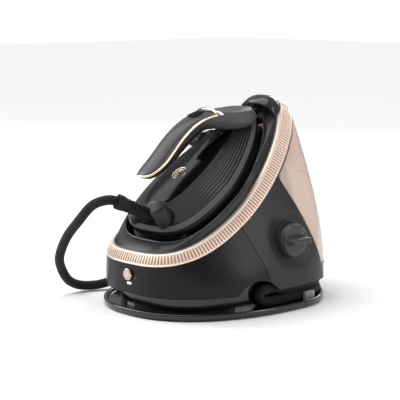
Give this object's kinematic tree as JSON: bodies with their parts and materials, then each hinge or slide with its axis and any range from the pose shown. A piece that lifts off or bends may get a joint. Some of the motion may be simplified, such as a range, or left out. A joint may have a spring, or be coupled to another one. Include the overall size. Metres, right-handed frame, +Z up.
{
  "type": "steam generator iron",
  "caption": "Steam generator iron: a base with a copper ribbed ring and a removable copper water tank, and a hand iron resting on its sloping platform, joined by a hose.",
  "frame": {"origin": "bottom centre of the base, on the table", "axes": "-Y faces the power button and the iron's heel, +Y the water tank and the iron's nose, +X the descaling knob, +Z up"},
  "size_m": [0.2694, 0.3061, 0.2524],
  "materials": {
    "tray_black": "gloss",
    "foot_rubber": "matt",
    "plinth_black": "matt",
    "shell_black": "satin",
    "panel_grey": "satin",
    "ring_copper": "satin metallic",
    "collar_grey": "satin",
    "platform_black": "matt",
    "silicone": "matt",
    "hood_smoke": "gloss, smoked",
    "release_silver": "satin",
    "latch_black": "matt",
    "steel": "plain",
    "inner_plastic": "matt",
    "boiler_steel": "brushed",
    "zinc": "zinc plated",
    "heater_aluminium": "cast",
    "valve_brass": "plain",
    "pump_grey": "matt",
    "coil_blue": "matt",
    "tube_clear": "translucent",
    "board_green": "satin",
    "button_lit": "gloss, lit from behind",
    "button_rose": "satin rose metal",
    "lens_white": "clear",
    "socket_black": "matt",
    "plug_grey": "satin",
    "seal_red": "matt",
    "knob_grey": "satin",
    "tank_copper": "gloss, translucent",
    "door_copper": "gloss",
    "valve_grey": "satin",
    "clip_grey": "satin",
    "sole_ceramic": "ceramic coated",
    "chamber_aluminium": "cast",
    "iron_gloss": "gloss",
    "skirt_black": "satin",
    "handle_black": "satin",
    "handle_grey": "satin",
    "trim_gold": "pale gold",
    "trigger_black": "satin",
    "badge_copper": "satin metallic",
    "post_grey": "satin",
    "relief_rubber": "matt",
    "hose_braid": "braided sleeve"
  },
  "bodies": {
    "base": {"base_tray": "tray_black", "rubber_feet": "foot_rubber", "hose_channel": "plinth_black", "body_shell": "shell_black", "side_panel_right": "panel_grey", "side_panel_left": "panel_grey", "trim_ring": "ring_copper", "collar": "collar_grey", "platform": "platform_black", "platform_pads": "silicone", "nose_hood": "hood_smoke", "latch_pin": "steel", "latch_spring": "steel", "chassis": "inner_plastic", "boiler": "boiler_steel", "boiler_mounts": "zinc", "boiler_heater": "heater_aluminium", "safety_valve": "valve_brass", "pump": "pump_grey", "steam_valve": "coil_blue", "water_tubes": "tube_clear", "steam_tube": "tube_clear", "drain_pipe": "boiler_steel", "main_board": "board_green", "control_board": "board_green", "button_ring": "button_rose", "button_spring": "steel", "indicator_lens": "lens_white", "drain_socket": "socket_black", "valve_socket": "socket_black", "hose_outlet": "socket_black", "mains_inlet": "socket_black", "hose_clip": "clip_grey", "body_screws": "zinc", "hose": "hose_braid"},
    "release_button": {"release_button": "release_silver"},
    "carry_latch": {"latch_lever": "latch_black"},
    "power_button": {"power_button": "button_lit"},
    "drain_plug": {"drain_plug": "plug_grey", "plug_seal": "seal_red"},
    "descaling_knob": {"descaling_knob": "knob_grey"},
    "water_tank": {"water_tank": "tank_copper", "tank_valve": "valve_grey", "door_pin": "steel"},
    "filling_door": {"filling_door": "door_copper"},
    "iron": {"soleplate": "sole_ceramic", "steam_chamber": "chamber_aluminium", "heat_skirt": "skirt_black", "iron_body": "iron_gloss", "handle_core": "handle_black", "handle_shell": "handle_grey", "trim_loop": "trim_gold", "trigger_pin": "steel", "trigger_switch": "coil_blue", "trigger_spring": "steel", "badge_ring": "badge_copper", "heel_posts": "post_grey", "hose_relief": "relief_rubber"},
    "trigger": {"steam_trigger": "trigger_black"},
    "mode_switch": {"mode_switch": "latch_black"}
  },
  "joints": [
    {"name": "release_press", "type": "slide", "parent": "base", "child": "release_button", "axis": [0, -0.474, -0.8805], "range_m": [0, 0.0015], "stiffness_N_per_m": 400, "springref_m": -0.001},
    {"name": "latch_turn", "type": "hinge", "parent": "base", "child": "carry_latch", "pos_m": [0, 0.09168, 0.24496], "axis": [-1, 0, 0], "range_deg": [0, 6.5], "stiffness_Nm_per_rad": 0.05, "springref_deg": -11.46, "deforming": ["latch_spring"]},
    {"name": "power_press", "type": "slide", "parent": "base", "child": "power_button", "axis": [0, 1, 0], "range_m": [0, 0.0015], "stiffness_N_per_m": 300, "springref_m": -0.001, "deforming": ["button_spring"]},
    {"name": "plug_pull", "type": "slide", "parent": "base", "child": "drain_plug", "axis": [1, 0, 0], "range_m": [0, 0.04]},
    {"name": "knob_turn", "type": "hinge", "parent": "drain_plug", "child": "descaling_knob", "pos_m": [0.101, 0.037, 0.083], "axis": [1, 0, 0], "range_deg": [0, 180]},
    {"name": "tank_pull", "type": "slide", "parent": "base", "child": "water_tank", "axis": [0, 1, 0], "range_m": [0, 0.08]},
    {"name": "door_turn", "type": "hinge", "parent": "water_tank", "child": "filling_door", "pos_m": [0, 0.1385, 0.157], "axis": [-1, 0, 0], "range_deg": [0, 100]},
    {"name": "iron_lift", "type": "hinge", "parent": "base", "child": "iron", "pos_m": [0, 0.08579, 0.21153], "axis": [-1, 0, 0], "range_deg": [0, 8], "deforming": ["hose"]},
    {"name": "trigger_turn", "type": "hinge", "parent": "iron", "child": "trigger", "pos_m": [0, 0.00485, 0.20857], "axis": [-1, 0, 0], "range_deg": [0, 6], "stiffness_Nm_per_rad": 0.4, "springref_deg": -5.73, "deforming": ["trigger_spring"]},
    {"name": "mode_slide", "type": "slide", "parent": "iron", "child": "mode_switch", "axis": [0, 0.9659, 0.2588], "range_m": [0, 0.004]}
  ],
  "couplings": [
    {"joint": "latch_turn", "follows": "release_press", "rad_per_m": 70}
  ]
}
